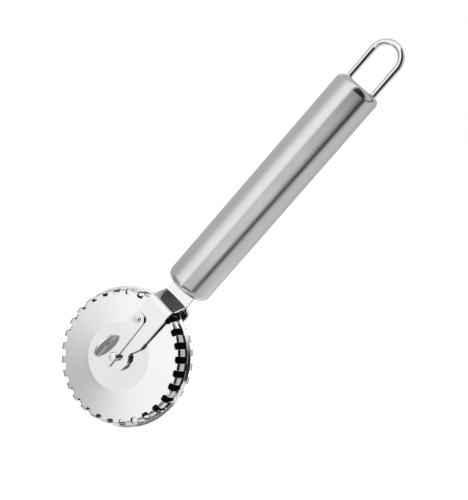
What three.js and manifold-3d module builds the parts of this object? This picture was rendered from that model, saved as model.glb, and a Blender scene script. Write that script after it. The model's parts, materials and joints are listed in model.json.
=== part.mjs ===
// Pastry cutter wheel: a toothed cutting and sealing wheel in a latched fork on a tube handle.
// Millimetres. +Z runs up the handle, the wheel turns about Y, and its front faces -Y.
// Lengths are worked out from the wheel's centre; the whole part is then moved so that its
// origin is the point inside the hanging loop where a hook carries it.

import * as THREE from 'three';
import { mergeVertices } from 'three/addons/utils/BufferGeometryUtils.js';
import Module from 'manifold-3d';

// ---- Driving dimensions ----

// Clearances between neighbouring pieces.
const SEAM_GAP = 0.1;
const RUNNING_GAP = 0.1;
const PLATE_GAP = 0.3;
const OVERCUT = 1;

// Handle.
const HANDLE_R = 10;
const HANDLE_BOTTOM = 39.5;
const HANDLE_TOP = 149.5;
const TUBE_WALL = 1;
const CAP_EDGE_R = 3;
const BOTTOM_PLUG_LENGTH = 24;
const TOP_PLUG_LENGTH = 12;

// Hanging loop.
const LOOP_WIRE_R = 1.35;
const LOOP_HALF_WIDTH = 6.6;
const LOOP_TOP = 171.2;
const LOOP_LEG_IN_CAP = 11;

// Fork: two pressed strips, back to back in the handle and spread round the wheel.
const STRIP_T = 1.2;
const STRIP_SPLIT = 0.15;
const ARM_INNER_Y = 8.3;
const STRIP_HALF_WIDTH = 5.95;
const ARM_END_R = 5.9;
const NICK_TOP_Z = 9.8;
const NICK_FOOT = { x: 3.85, z: 5.1 };
const TANG_HALF_WIDTH = 5;
const TANG_TOP = HANDLE_BOTTOM + 22;
const JOGGLE_TOP = 33.2;
const JOGGLE_BOTTOM = 29.3;
const STRIP_BEND_R = 1.4;
const TANG_PIN_R = 1.5;
const TANG_PIN_HEIGHTS = { lower: 48, upper: 56 };
const TANG_PIN_SETBACK = 0.6;

// Axle pin.
const PIN_R = 1.85;
const PIN_NECK_R = 1.4;
const PIN_HEAD_R = 3.4;
const PIN_HEAD_T = 1.2;
const PIN_HEAD_CHAMFER = 0.4;
const PIN_TIP = 12.6;
const PIN_TIP_CHAMFER = 0.45;
const NECK_SIDE_GAP = 0.15;

// Latch on the front arm.
const LATCH_T = 0.8;
const LATCH_PIVOT_X = -3.2;
const LATCH_PIVOT_Z = 18.2;
const LATCH_END_R = 3.15;
const LATCH_BOTTOM_LEFT_Z = -5.8;
const LATCH_BOTTOM_RIGHT = { x: 1, z: -5.2 };
const NOTCH_R = 1.75;
const NOTCH_RISE_DEG = 11;
const NOTCH_REACH = 6;
const TAB_HALF_LENGTH = 6.2;
const TAB_CENTRE_Z = 0.85;
const TAB_REACH = 6.7;
const TAB_BEND_R = 0.7;
const TAB_FOOT = 0.4;
const TAB_RELIEF = 0.6;
const RIVET_R = 0.8;
const RIVET_HEAD_R = 1.2;
const RIVET_HEAD_T = 0.6;
const RIVET_HEAD_ROUND = 0.35;
const RIVET_DIMPLE = { radius: 0.5, depth: 0.25 };
const RIVET_TAIL_R = 1.8;
const RIVET_TAIL_T = 0.5;
const WASHER_R = 1.65;
const WASHER_T = 0.3;

// Wheel: a cutting disc between two toothed cups.
const DISC_R = 29.8;
const DISC_T = 1;
const DISC_EDGE_T = 0.25;
const DISC_BEVEL = 1.8;
const CUP_R = 28.5;
const CUP_WALL = 0.8;
const CUP_RIM_Y = DISC_T / 2 + PLATE_GAP;
const CUP_FACE_Y = 6.7;
const CUP_SHOULDER_R = 1.8;
const BOSS_R = 15.4;
const BOSS_Y = 7.3;
const BOSS_STEP = 0.5;
const TEETH = 30;
const TOOTH_GAP = 2.9;
const TOOTH_ROOT_R = 25.8;
const TOOTH_ROOT_CORNER = 0.9;
const TOOTH_TURN_DEG = 0.8;

// Hub: a hollow rivet through both cups, with a washer outside and a spacer inside each cup.
const HUB_BORE_R = PIN_R + RUNNING_GAP;
const HUB_TUBE_R = 3.4;
const HUB_FLANGE_R = 4.6;
const HUB_FLANGE_Y = 7.98;
const HUB_FLANGE_T = 0.25;
const HUB_WASHER_R = 5.6;
const HUB_WASHER_T = 0.25;
const SPACER_R = 6.2;

// Facet counts.
const DISC_SEGMENTS = 72;
const CUP_SEGMENTS = 60;
const HANDLE_SEGMENTS = 40;
const SMALL_SEGMENTS = 28;
const LOOP_STEPS = 36;

// ---- Materials ----

const brushedSteel = new THREE.MeshStandardMaterial({ color: 0xc2c3c5, roughness: 0.38, metalness: 1 });
const polishedSteel = new THREE.MeshStandardMaterial({ color: 0xdcdddf, roughness: 0.1, metalness: 1 });
const satinSteel = new THREE.MeshStandardMaterial({ color: 0xd0d1d3, roughness: 0.25, metalness: 1 });
const plainSteel = new THREE.MeshStandardMaterial({ color: 0xa9aaac, roughness: 0.45, metalness: 1 });

// ---- Solid helpers ----

const wasm = await Module();
wasm.setup();

function toSolid(geometry) {
  const bare = geometry.clone();
  bare.deleteAttribute('normal');
  bare.deleteAttribute('uv');
  const merged = mergeVertices(bare, 1e-4);
  return new wasm.Manifold(new wasm.Mesh({
    numProp: 3,
    vertProperties: new Float32Array(merged.attributes.position.array),
    triVerts: new Uint32Array(merged.index.array),
  }));
}

function toGeometry(solid) {
  const mesh = solid.getMesh();
  const geometry = new THREE.BufferGeometry();
  geometry.setAttribute('position', new THREE.BufferAttribute(mesh.vertProperties, 3));
  geometry.setIndex(new THREE.BufferAttribute(mesh.triVerts, 1));
  geometry.computeVertexNormals();
  return geometry;
}

function cut(blank, ...tools) {
  return tools.reduce((solid, tool) => solid.subtract(tool), blank);
}

// A plate seen from the front: the shape's x and y become X and Z, and it spans yFront to yBack.
function plate(shape, yFront, yBack, curveSegments = 8) {
  const geometry = new THREE.ExtrudeGeometry(shape, {
    depth: yBack - yFront,
    bevelEnabled: false,
    curveSegments,
  });
  return geometry.rotateX(Math.PI / 2).translate(0, yBack, 0);
}

// A bar whose section is drawn in Y and Z, centred on X = 0.
function barAlongX(sectionShape, width, curveSegments = 12) {
  const bar = new THREE.ExtrudeGeometry(sectionShape, { depth: width, bevelEnabled: false, curveSegments });
  const turn = new THREE.Matrix4().makeBasis(
    new THREE.Vector3(0, 1, 0), new THREE.Vector3(0, 0, 1), new THREE.Vector3(1, 0, 0),
  );
  return bar.applyMatrix4(turn).translate(-width / 2, 0, 0);
}

// A piece turned about the axle from a profile of [radius, y] points.
function turnedOnAxle(profile, segments = SMALL_SEGMENTS) {
  const points = profile.map(([r, y]) => new THREE.Vector2(r, y));
  return new THREE.LatheGeometry(points, segments);
}

// A piece turned about the handle's centre line from a profile of [radius, z] points.
function turnedOnHandle(profile, segments = HANDLE_SEGMENTS) {
  const points = profile.map(([r, z]) => new THREE.Vector2(r, -z)).reverse();
  return new THREE.LatheGeometry(points, segments).rotateX(-Math.PI / 2);
}

// A round bar along Y.
function barAlongY(radius, yFront, yBack, x, z, segments = SMALL_SEGMENTS) {
  const bar = new THREE.CylinderGeometry(radius, radius, yBack - yFront, segments);
  return bar.translate(x, (yFront + yBack) / 2, z);
}

// Points on an arc, for a profile: angles in degrees, from the profile's first axis.
function arc(centreA, centreB, radius, fromDeg, toDeg, steps) {
  const points = [];
  for (let i = 0; i <= steps; i += 1) {
    const angle = THREE.MathUtils.degToRad(fromDeg + ((toDeg - fromDeg) * i) / steps);
    points.push([centreA + radius * Math.cos(angle), centreB + radius * Math.sin(angle)]);
  }
  return points;
}

const lift = new THREE.Group();
lift.position.z = -(LOOP_TOP - 2 * LOOP_WIRE_R);

function addPiece(name, geometry, material) {
  const mesh = new THREE.Mesh(geometry, material);
  mesh.name = name;
  lift.add(mesh);
  return mesh;
}

// ---- Handle tube and its end caps ----

const tubeInnerR = HANDLE_R - TUBE_WALL;
const plugR = tubeInnerR - SEAM_GAP;
const tubeBottom = HANDLE_BOTTOM + CAP_EDGE_R;
const tubeTop = HANDLE_TOP - CAP_EDGE_R;

addPiece('handle_tube', turnedOnHandle([
  [HANDLE_R, tubeBottom + SEAM_GAP],
  [HANDLE_R, tubeTop - SEAM_GAP],
  [tubeInnerR, tubeTop - SEAM_GAP],
  [tubeInnerR, tubeBottom + SEAM_GAP],
  [HANDLE_R, tubeBottom + SEAM_GAP],
]), brushedSteel);

const bottomCapBlank = toSolid(turnedOnHandle([
  [0, HANDLE_BOTTOM],
  ...arc(HANDLE_R - CAP_EDGE_R, tubeBottom, CAP_EDGE_R, -90, 0, 4),
  [plugR, tubeBottom],
  [plugR, HANDLE_BOTTOM + BOTTOM_PLUG_LENGTH],
  [0, HANDLE_BOTTOM + BOTTOM_PLUG_LENGTH],
]));
const slotWidth = 2 * (TANG_HALF_WIDTH + PLATE_GAP);
const slotThickness = 2 * (STRIP_SPLIT + STRIP_T + PLATE_GAP);
const tangSlot = new THREE.BoxGeometry(slotWidth, slotThickness, 2 * BOTTOM_PLUG_LENGTH);
tangSlot.translate(0, 0, HANDLE_BOTTOM + BOTTOM_PLUG_LENGTH / 2);
const tangPinHoles = Object.values(TANG_PIN_HEIGHTS).map((z) => (
  toSolid(barAlongY(TANG_PIN_R + RUNNING_GAP, -HANDLE_R, HANDLE_R, 0, z))
));
const bottomCap = cut(bottomCapBlank, toSolid(tangSlot), ...tangPinHoles);
addPiece('handle_bottom_cap', toGeometry(bottomCap), brushedSteel);

const topCapBlank = toSolid(turnedOnHandle([
  [0, HANDLE_TOP - TOP_PLUG_LENGTH],
  [plugR, HANDLE_TOP - TOP_PLUG_LENGTH],
  [plugR, tubeTop],
  ...arc(HANDLE_R - CAP_EDGE_R, tubeTop, CAP_EDGE_R, 0, 90, 4),
  [0, HANDLE_TOP],
]));
const legHoleR = LOOP_WIRE_R + RUNNING_GAP;
const legHoles = [-LOOP_HALF_WIDTH, LOOP_HALF_WIDTH].map((x) => {
  const hole = new THREE.CylinderGeometry(legHoleR, legHoleR, 3 * TOP_PLUG_LENGTH, SMALL_SEGMENTS);
  return toSolid(hole.rotateX(Math.PI / 2).translate(x, 0, HANDLE_TOP));
});
addPiece('handle_top_cap', toGeometry(cut(topCapBlank, ...legHoles)), brushedSteel);

// ---- Hanging loop ----

class LoopCentreLine extends THREE.Curve {
  constructor(halfWidth, legBottom, bendZ) {
    super();
    this.halfWidth = halfWidth;
    this.legBottom = legBottom;
    this.bendZ = bendZ;
  }

  getPoint(t, target = new THREE.Vector3()) {
    const leg = this.bendZ - this.legBottom;
    const bend = Math.PI * this.halfWidth;
    const along = t * (2 * leg + bend);
    if (along < leg) return target.set(-this.halfWidth, 0, this.legBottom + along);
    if (along > leg + bend) return target.set(this.halfWidth, 0, this.legBottom + 2 * leg + bend - along);
    const angle = Math.PI - (along - leg) / this.halfWidth;
    return target.set(this.halfWidth * Math.cos(angle), 0, this.bendZ + this.halfWidth * Math.sin(angle));
  }
}

const wireSection = new THREE.Shape().absarc(0, 0, LOOP_WIRE_R, 0, 2 * Math.PI);
const loopLine = new LoopCentreLine(
  LOOP_HALF_WIDTH,
  HANDLE_TOP - LOOP_LEG_IN_CAP,
  LOOP_TOP - LOOP_WIRE_R - LOOP_HALF_WIDTH,
);
addPiece('hanging_loop', new THREE.ExtrudeGeometry(wireSection, {
  extrudePath: loopLine,
  steps: LOOP_STEPS,
  curveSegments: 6,
  bevelEnabled: false,
}), polishedSteel);

// ---- Fork arms ----

// The strip seen from the side: down the handle, out over the joggle, and down past the wheel.
function stripSide() {
  const backY = STRIP_SPLIT;
  const slope = Math.atan2(JOGGLE_TOP - JOGGLE_BOTTOM, ARM_INNER_Y - backY);
  const turn = THREE.MathUtils.radToDeg(Math.PI / 2 - slope);
  const setbackPerRadius = Math.tan(THREE.MathUtils.degToRad(turn / 2));
  const outerR = STRIP_BEND_R + STRIP_T;
  // The upper bend's centre lies outside the fork, and the lower bend's centre inside it.
  const upper = { y: backY + outerR, z: JOGGLE_TOP + outerR * setbackPerRadius };
  const lower = { y: ARM_INNER_Y - STRIP_BEND_R, z: JOGGLE_BOTTOM - STRIP_BEND_R * setbackPerRadius };
  const steps = 4;
  return [
    [backY, TANG_TOP],
    ...arc(upper.y, upper.z, outerR, 180, 180 + turn, steps),
    ...arc(lower.y, lower.z, STRIP_BEND_R, turn, 0, steps),
    [ARM_INNER_Y, -ARM_END_R - OVERCUT],
    [ARM_INNER_Y + STRIP_T, -ARM_END_R - OVERCUT],
    ...arc(lower.y, lower.z, outerR, 0, turn, steps),
    ...arc(upper.y, upper.z, STRIP_BEND_R, 180 + turn, 180, steps),
    [backY + STRIP_T, TANG_TOP],
  ];
}

// The strip seen from the front: tang, shank, arm, a nick on each edge and a round end.
function stripOutline() {
  const shape = new THREE.Shape();
  const shoulderZ = HANDLE_BOTTOM - PLATE_GAP;
  const endAngle = Math.acos((NICK_FOOT.x + RUNNING_GAP) / ARM_END_R);
  shape.moveTo(TANG_HALF_WIDTH, TANG_TOP);
  shape.lineTo(-TANG_HALF_WIDTH, TANG_TOP);
  shape.lineTo(-TANG_HALF_WIDTH, shoulderZ);
  shape.lineTo(-STRIP_HALF_WIDTH, shoulderZ);
  shape.lineTo(-STRIP_HALF_WIDTH, NICK_TOP_Z);
  shape.lineTo(-NICK_FOOT.x, NICK_FOOT.z);
  shape.absarc(0, 0, ARM_END_R, Math.PI - endAngle, 2 * Math.PI + endAngle, false);
  shape.lineTo(NICK_FOOT.x, NICK_FOOT.z);
  shape.lineTo(STRIP_HALF_WIDTH, NICK_TOP_Z);
  shape.lineTo(STRIP_HALF_WIDTH, shoulderZ);
  shape.lineTo(TANG_HALF_WIDTH, shoulderZ);
  shape.closePath();
  return shape;
}

function forkArm(side) {
  const section = new THREE.Shape(stripSide().map(([y, z]) => new THREE.Vector2(side * y, z)));
  const strip = toSolid(barAlongX(section, 2 * STRIP_HALF_WIDTH + 2 * OVERCUT));
  const outline = toSolid(plate(stripOutline(), -HANDLE_R - OVERCUT, HANDLE_R + OVERCUT, 12));
  const pinHole = toSolid(barAlongY(HUB_BORE_R, -HANDLE_R - OVERCUT, HANDLE_R + OVERCUT, 0, 0));
  return cut(strip.intersect(outline), pinHole, ...tangPinHoles);
}

const rivetHoleR = RIVET_R + RUNNING_GAP;
const rivetHole = toSolid(barAlongY(rivetHoleR, -PIN_TIP, -OVERCUT, LATCH_PIVOT_X, LATCH_PIVOT_Z));
addPiece('front_arm', toGeometry(cut(forkArm(-1), rivetHole)), satinSteel);
addPiece('rear_arm', toGeometry(forkArm(1)), satinSteel);

for (const [place, z] of Object.entries(TANG_PIN_HEIGHTS)) {
  const reach = plugR - TANG_PIN_SETBACK;
  addPiece(`tang_pin_${place}`, barAlongY(TANG_PIN_R, -reach, reach, 0, z), plainSteel);
}

// ---- Latch: plate with a notch and an upturned thumb tab, on a rivet with a washer ----

const latchBackY = -(ARM_INNER_Y + STRIP_T + PLATE_GAP);
const latchFrontY = latchBackY - LATCH_T;
const latchLeftX = LATCH_PIVOT_X - LATCH_END_R;

function latchOutline() {
  const shape = new THREE.Shape();
  const cornerX = latchLeftX + TAB_BEND_R + LATCH_T;
  const tabTop = TAB_CENTRE_Z + TAB_HALF_LENGTH + TAB_RELIEF;
  shape.moveTo(latchLeftX, LATCH_PIVOT_Z);
  shape.lineTo(latchLeftX, tabTop);
  shape.lineTo(cornerX, tabTop);
  shape.lineTo(cornerX, LATCH_BOTTOM_LEFT_Z);
  shape.lineTo(LATCH_BOTTOM_RIGHT.x, LATCH_BOTTOM_RIGHT.z);
  shape.lineTo(LATCH_PIVOT_X + LATCH_END_R, LATCH_PIVOT_Z);
  shape.absarc(LATCH_PIVOT_X, LATCH_PIVOT_Z, LATCH_END_R, 0, Math.PI, false);
  return shape;
}

// The tab's bend, seen from above as [x, y] points, standing up off the plate's left edge.
function tabBend() {
  const outerR = TAB_BEND_R + LATCH_T;
  const centre = { x: latchLeftX + outerR, y: latchFrontY - TAB_BEND_R };
  const tipY = latchFrontY - TAB_REACH - OVERCUT;
  return [
    [centre.x + OVERCUT, latchBackY],
    ...arc(centre.x, centre.y, outerR, 90, 180, 5),
    [latchLeftX, tipY],
    [latchLeftX + LATCH_T, tipY],
    ...arc(centre.x, centre.y, TAB_BEND_R, 180, 90, 5),
    [centre.x + OVERCUT, latchFrontY],
  ];
}

// Seen from the side the tab is half an ellipse standing on a short straight foot.
function tabProfile() {
  const footY = latchFrontY - TAB_FOOT;
  const low = TAB_CENTRE_Z - TAB_HALF_LENGTH;
  const high = TAB_CENTRE_Z + TAB_HALF_LENGTH;
  const standing = TAB_REACH - TAB_FOOT;
  const profile = new THREE.Shape();
  profile.moveTo(latchBackY + OVERCUT, low);
  profile.lineTo(latchBackY + OVERCUT, high);
  profile.lineTo(footY, high);
  profile.absellipse(footY, TAB_CENTRE_Z, standing, TAB_HALF_LENGTH, Math.PI / 2, 1.5 * Math.PI, false, 0);
  profile.closePath();
  return profile;
}

function thumbTab() {
  const section = new THREE.Shape(tabBend().map(([x, y]) => new THREE.Vector2(x, y)));
  const strip = new THREE.ExtrudeGeometry(section, { depth: 2 * TAB_HALF_LENGTH, bevelEnabled: false });
  strip.translate(0, 0, TAB_CENTRE_Z - TAB_HALF_LENGTH);
  return toSolid(strip).intersect(toSolid(barAlongX(tabProfile(), 2 * HANDLE_R)));
}

// The notch opens along the path that the pin takes out of it as the latch swings.
function notchOutline() {
  const rise = THREE.MathUtils.degToRad(NOTCH_RISE_DEG);
  const shape = new THREE.Shape();
  shape.absarc(0, 0, NOTCH_R, Math.PI / 2 + rise, 1.5 * Math.PI + rise, false);
  const lower = new THREE.Vector2(Math.sin(rise), -Math.cos(rise)).multiplyScalar(NOTCH_R);
  const upper = lower.clone().negate();
  const out = new THREE.Vector2(Math.cos(rise), Math.sin(rise)).multiplyScalar(NOTCH_REACH);
  shape.lineTo(lower.x + out.x, lower.y + out.y);
  shape.lineTo(upper.x + out.x, upper.y + out.y);
  return shape;
}

const latchPlate = toSolid(plate(latchOutline(), latchFrontY, latchBackY, 12));
const notch = toSolid(plate(notchOutline(), latchFrontY - OVERCUT, latchBackY + OVERCUT, 12));
addPiece('latch_plate', toGeometry(cut(latchPlate.add(thumbTab()), notch, rivetHole)), satinSteel);

const washerBackY = latchFrontY - SEAM_GAP;
const washerFrontY = washerBackY - WASHER_T;
addPiece('latch_washer', turnedOnAxle([
  [rivetHoleR, washerFrontY],
  [WASHER_R, washerFrontY],
  [WASHER_R, washerBackY],
  [rivetHoleR, washerBackY],
  [rivetHoleR, washerFrontY],
]).translate(LATCH_PIVOT_X, 0, LATCH_PIVOT_Z), polishedSteel);

const rivetHeadY = washerFrontY - SEAM_GAP;
const rivetFrontY = rivetHeadY - RIVET_HEAD_T;
const rivetTailY = -(ARM_INNER_Y - SEAM_GAP);
addPiece('latch_rivet', turnedOnAxle([
  [0, rivetFrontY + RIVET_DIMPLE.depth],
  [RIVET_DIMPLE.radius, rivetFrontY],
  [RIVET_HEAD_R - RIVET_HEAD_ROUND, rivetFrontY],
  [RIVET_HEAD_R, rivetFrontY + RIVET_HEAD_ROUND],
  [RIVET_HEAD_R, rivetHeadY],
  [RIVET_R, rivetHeadY],
  [RIVET_R, rivetTailY],
  [RIVET_TAIL_R, rivetTailY],
  [RIVET_TAIL_R, rivetTailY + RIVET_TAIL_T],
  [0, rivetTailY + RIVET_TAIL_T],
]).translate(LATCH_PIVOT_X, 0, LATCH_PIVOT_Z), polishedSteel);

// ---- Axle pin: head behind the rear arm, and a neck in front that the latch hooks ----

const pinHeadY = ARM_INNER_Y + STRIP_T + SEAM_GAP;
const neckBackY = latchBackY + NECK_SIDE_GAP;
const neckFrontY = latchFrontY - NECK_SIDE_GAP;
addPiece('axle_pin', turnedOnAxle([
  [0, -PIN_TIP],
  [PIN_R - PIN_TIP_CHAMFER, -PIN_TIP],
  [PIN_R, -PIN_TIP + PIN_TIP_CHAMFER],
  [PIN_R, neckFrontY],
  [PIN_NECK_R, neckFrontY],
  [PIN_NECK_R, neckBackY],
  [PIN_R, neckBackY],
  [PIN_R, pinHeadY],
  [PIN_HEAD_R, pinHeadY],
  [PIN_HEAD_R, pinHeadY + PIN_HEAD_T - PIN_HEAD_CHAMFER],
  [PIN_HEAD_R - PIN_HEAD_CHAMFER, pinHeadY + PIN_HEAD_T],
  [0, pinHeadY + PIN_HEAD_T],
]), polishedSteel);

// ---- Wheel ----

addPiece('cutting_disc', turnedOnAxle([
  [HUB_TUBE_R + RUNNING_GAP, -DISC_T / 2],
  [DISC_R - DISC_BEVEL, -DISC_T / 2],
  [DISC_R, -DISC_EDGE_T / 2],
  [DISC_R, DISC_EDGE_T / 2],
  [DISC_R - DISC_BEVEL, DISC_T / 2],
  [HUB_TUBE_R + RUNNING_GAP, DISC_T / 2],
  [HUB_TUBE_R + RUNNING_GAP, -DISC_T / 2],
], DISC_SEGMENTS), polishedSteel);

// The cup's section for the rear side: rim by the disc, shoulder, face, and a raised boss.
function cupSection() {
  const shoulderR = CUP_R - CUP_SHOULDER_R;
  const shoulderY = CUP_FACE_Y - CUP_SHOULDER_R;
  return [
    [HUB_TUBE_R + RUNNING_GAP, BOSS_Y - CUP_WALL],
    [BOSS_R - BOSS_STEP, BOSS_Y - CUP_WALL],
    [BOSS_R + BOSS_STEP, CUP_FACE_Y - CUP_WALL],
    ...arc(shoulderR, shoulderY, CUP_SHOULDER_R - CUP_WALL, 90, 0, 1),
    [CUP_R - CUP_WALL, CUP_RIM_Y],
    [CUP_R, CUP_RIM_Y],
    ...arc(shoulderR, shoulderY, CUP_SHOULDER_R, 0, 90, 2),
    [BOSS_R + BOSS_STEP, CUP_FACE_Y],
    [BOSS_R - BOSS_STEP, BOSS_Y],
    [HUB_TUBE_R + RUNNING_GAP, BOSS_Y],
    [HUB_TUBE_R + RUNNING_GAP, BOSS_Y - CUP_WALL],
  ];
}

// One gap between teeth, seen from the front, reaching in from the rim to a rounded root.
function toothGapOutline() {
  const half = TOOTH_GAP / 2;
  const corner = TOOTH_ROOT_CORNER;
  const shape = new THREE.Shape();
  shape.moveTo(-half, CUP_R + OVERCUT);
  shape.absarc(-half + corner, TOOTH_ROOT_R + corner, corner, Math.PI, 1.5 * Math.PI, false);
  shape.absarc(half - corner, TOOTH_ROOT_R + corner, corner, 1.5 * Math.PI, 2 * Math.PI, false);
  shape.lineTo(half, CUP_R + OVERCUT);
  shape.closePath();
  return shape;
}

function toothedDisc(side) {
  const section = cupSection().map(([r, y]) => [r, side * y]);
  const cup = toSolid(turnedOnAxle(side > 0 ? section : section.reverse(), CUP_SEGMENTS));
  const gapEnds = [0, side * (CUP_FACE_Y + OVERCUT)].sort((a, b) => a - b);
  const gapTool = plate(toothGapOutline(), ...gapEnds, 1);
  const gaps = [];
  for (let i = 0; i < TEETH; i += 1) {
    const angle = THREE.MathUtils.degToRad(TOOTH_TURN_DEG + (360 * i) / TEETH);
    gaps.push(toSolid(gapTool.clone().rotateY(angle)));
  }
  return cut(cup, ...gaps);
}

for (const [place, side] of [['front', -1], ['rear', 1]]) {
  addPiece(`${place}_toothed_disc`, toGeometry(toothedDisc(side)), polishedSteel);

  const washerInner = side * (BOSS_Y + SEAM_GAP);
  const hubWasher = barAlongY(HUB_WASHER_R, -HUB_WASHER_T / 2, HUB_WASHER_T / 2, 0, 0);
  const hubWasherHole = barAlongY(HUB_TUBE_R + RUNNING_GAP, -OVERCUT, OVERCUT, 0, 0);
  const ring = cut(toSolid(hubWasher), toSolid(hubWasherHole));
  addPiece(`${place}_hub_washer`, toGeometry(ring), polishedSteel)
    .position.y = washerInner + (side * HUB_WASHER_T) / 2;

  const spacerFrom = DISC_T / 2 + SEAM_GAP;
  const spacerTo = BOSS_Y - CUP_WALL - SEAM_GAP;
  const spacer = barAlongY(SPACER_R, spacerFrom, spacerTo, 0, 0);
  const spacerHole = barAlongY(HUB_TUBE_R + RUNNING_GAP, 0, 2 * BOSS_Y, 0, 0);
  const spacerPiece = addPiece(
    `${place}_hub_spacer`, toGeometry(cut(toSolid(spacer), toSolid(spacerHole))), plainSteel,
  );
  spacerPiece.rotation.z = side > 0 ? 0 : Math.PI;
}

addPiece('hub_sleeve', turnedOnAxle([
  [HUB_BORE_R, -HUB_FLANGE_Y],
  [HUB_FLANGE_R, -HUB_FLANGE_Y],
  [HUB_FLANGE_R, -HUB_FLANGE_Y + HUB_FLANGE_T],
  [HUB_TUBE_R, -HUB_FLANGE_Y + HUB_FLANGE_T],
  [HUB_TUBE_R, HUB_FLANGE_Y - HUB_FLANGE_T],
  [HUB_FLANGE_R, HUB_FLANGE_Y - HUB_FLANGE_T],
  [HUB_FLANGE_R, HUB_FLANGE_Y],
  [HUB_BORE_R, HUB_FLANGE_Y],
  [HUB_BORE_R, -HUB_FLANGE_Y],
]), polishedSteel);

const pastryWheel = new THREE.Group();
pastryWheel.add(lift);
pastryWheel.updateMatrixWorld(true);

export default pastryWheel;
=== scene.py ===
# %% [markdown]
# # A pastry cutter wheel in stainless steel
#
# This is a hand tool that cuts dough and crimps the cut edge: a thin disc between two toothed
# cups, in a fork on a tube handle. The engineering model gives every place and size, so the
# first step loads it and keeps the box that it fills. Everything after this only makes the
# surfaces that the eye sees.

# %% The engineering model
import json
import math

import bmesh
import bpy
from mathutils import Matrix, Vector
from mathutils.geometry import intersect_line_line_2d


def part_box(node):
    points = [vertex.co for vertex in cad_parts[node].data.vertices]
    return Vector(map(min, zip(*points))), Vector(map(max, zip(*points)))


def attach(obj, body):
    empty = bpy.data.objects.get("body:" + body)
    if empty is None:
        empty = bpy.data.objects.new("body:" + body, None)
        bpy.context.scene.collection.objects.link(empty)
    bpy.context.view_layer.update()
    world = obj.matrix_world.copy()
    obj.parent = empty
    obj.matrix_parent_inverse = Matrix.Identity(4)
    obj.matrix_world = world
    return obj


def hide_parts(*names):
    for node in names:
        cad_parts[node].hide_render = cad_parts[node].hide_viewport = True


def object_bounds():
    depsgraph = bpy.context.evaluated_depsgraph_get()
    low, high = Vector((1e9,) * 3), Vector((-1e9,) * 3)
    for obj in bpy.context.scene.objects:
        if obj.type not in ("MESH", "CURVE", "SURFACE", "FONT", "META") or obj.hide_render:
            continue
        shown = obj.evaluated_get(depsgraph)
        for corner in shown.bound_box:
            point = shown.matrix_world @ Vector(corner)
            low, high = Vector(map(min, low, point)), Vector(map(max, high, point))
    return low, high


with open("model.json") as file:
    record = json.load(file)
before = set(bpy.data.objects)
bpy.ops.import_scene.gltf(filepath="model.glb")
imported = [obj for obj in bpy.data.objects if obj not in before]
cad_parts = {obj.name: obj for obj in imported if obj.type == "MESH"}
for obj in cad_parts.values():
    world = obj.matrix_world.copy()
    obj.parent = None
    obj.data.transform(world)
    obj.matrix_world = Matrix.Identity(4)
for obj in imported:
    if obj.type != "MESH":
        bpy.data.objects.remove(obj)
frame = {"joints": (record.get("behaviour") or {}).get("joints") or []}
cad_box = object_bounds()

# %% [markdown]
# ## Working in millimetres from the wheel's centre
#
# A drawing of this tool is dimensioned in millimetres from the axle, so the meshes are too.
# Each finished piece is then scaled to metres and moved to the axle's place in one go. The
# axle and the latch's pivot come from the joints, and the outer sizes from the pieces' boxes.

# %% Places and main sizes
MM = 0.001
joint_places = {joint["name"]: Vector(joint["pos_m"]) for joint in frame["joints"]}
axle = joint_places["wheel_spin"]
pivot = (joint_places["latch_swing"] - axle) / MM


def drawn(node):
    """A node's lowest and highest corners, in millimetres from the wheel's centre."""
    low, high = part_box(node)
    return (low - axle) / MM, (high - axle) / MM


tube_low, tube_high = drawn("handle_tube")
lower_end = drawn("handle_bottom_cap")[0].z
upper_end = drawn("handle_top_cap")[1].z
loop_low, loop_high = drawn("hanging_loop")
strip_low, strip_high = drawn("rear_arm")
latch_low, latch_high = drawn("latch_plate")
cup_low, cup_high = drawn("rear_toothed_disc")
disc_high = drawn("cutting_disc")[1]
GRIP_R = tube_high.x
CUP_R = cup_high.x
DISC_R = disc_high.x
print(f"grip {2 * GRIP_R:.1f} mm, cups {2 * CUP_R:.1f} mm, disc {2 * DISC_R:.1f} mm across")

# %% [markdown]
# ## Writing shader maths as sums
#
# A finish is a small formula: so much grain here, so much polish there. Wrapping a socket in
# a class that knows plus, minus and times lets the formula be read as one, while Blender
# still gets ordinary nodes. Every other node goes through one method.

# %% Sockets that can be added and multiplied
class Signal:
    """A socket of a node tree that takes part in sums."""

    def __init__(self, tree, socket):
        self.tree = tree
        self.socket = socket

    def math(self, operation, *others):
        node = self.tree.nodes.new("ShaderNodeMath")
        node.operation = operation
        for place, value in enumerate((self, *others)):
            plug(self.tree, node.inputs[place], value)
        return Signal(self.tree, node.outputs[0])

    def __add__(self, other):
        return self.math("ADD", other)

    def __mul__(self, other):
        return self.math("MULTIPLY", other)

    def __sub__(self, other):
        return self.math("SUBTRACT", other)

    def __truediv__(self, other):
        return self.math("DIVIDE", other)

    def __rsub__(self, other):
        return self * -1 + other

    def __rtruediv__(self, other):
        return self.math("POWER", -1) * other

    __radd__ = __add__
    __rmul__ = __mul__


def plug(tree, socket, value):
    """Link a signal to a socket, or set the socket to a plain value."""
    if isinstance(value, Signal):
        tree.links.new(value.socket, socket)
    else:
        socket.default_value = value


def add_node(tree, kind, settings=None, values=None, output=0):
    """Add a node: its settings first, then its sockets, each by its name or its place.
    Returns one output as a signal."""
    node = tree.nodes.new(kind)
    for name, value in (settings or {}).items():
        setattr(node, name, value)
    for name, value in (values or {}).items():
        by_name = [s for s in node.inputs if s.enabled and s.name == name]
        plug(tree, by_name[0] if by_name else node.inputs[name], value)
    return Signal(tree, node.outputs[output])


def above(signal, level, soft):
    """0 below the level and 1 above it, with a smooth step that reaches soft to either side."""
    return add_node(
        signal.tree, "ShaderNodeMapRange", {"interpolation_type": "SMOOTHSTEP"},
        {"Value": signal, "From Min": level - soft, "From Max": level + soft},
    )


def between(signal, low, high, soft):
    """1 where the signal lies from low to high, fading to 0 over soft on either side."""
    return above(signal, low, soft) * (1 - above(signal, high, soft))


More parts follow.
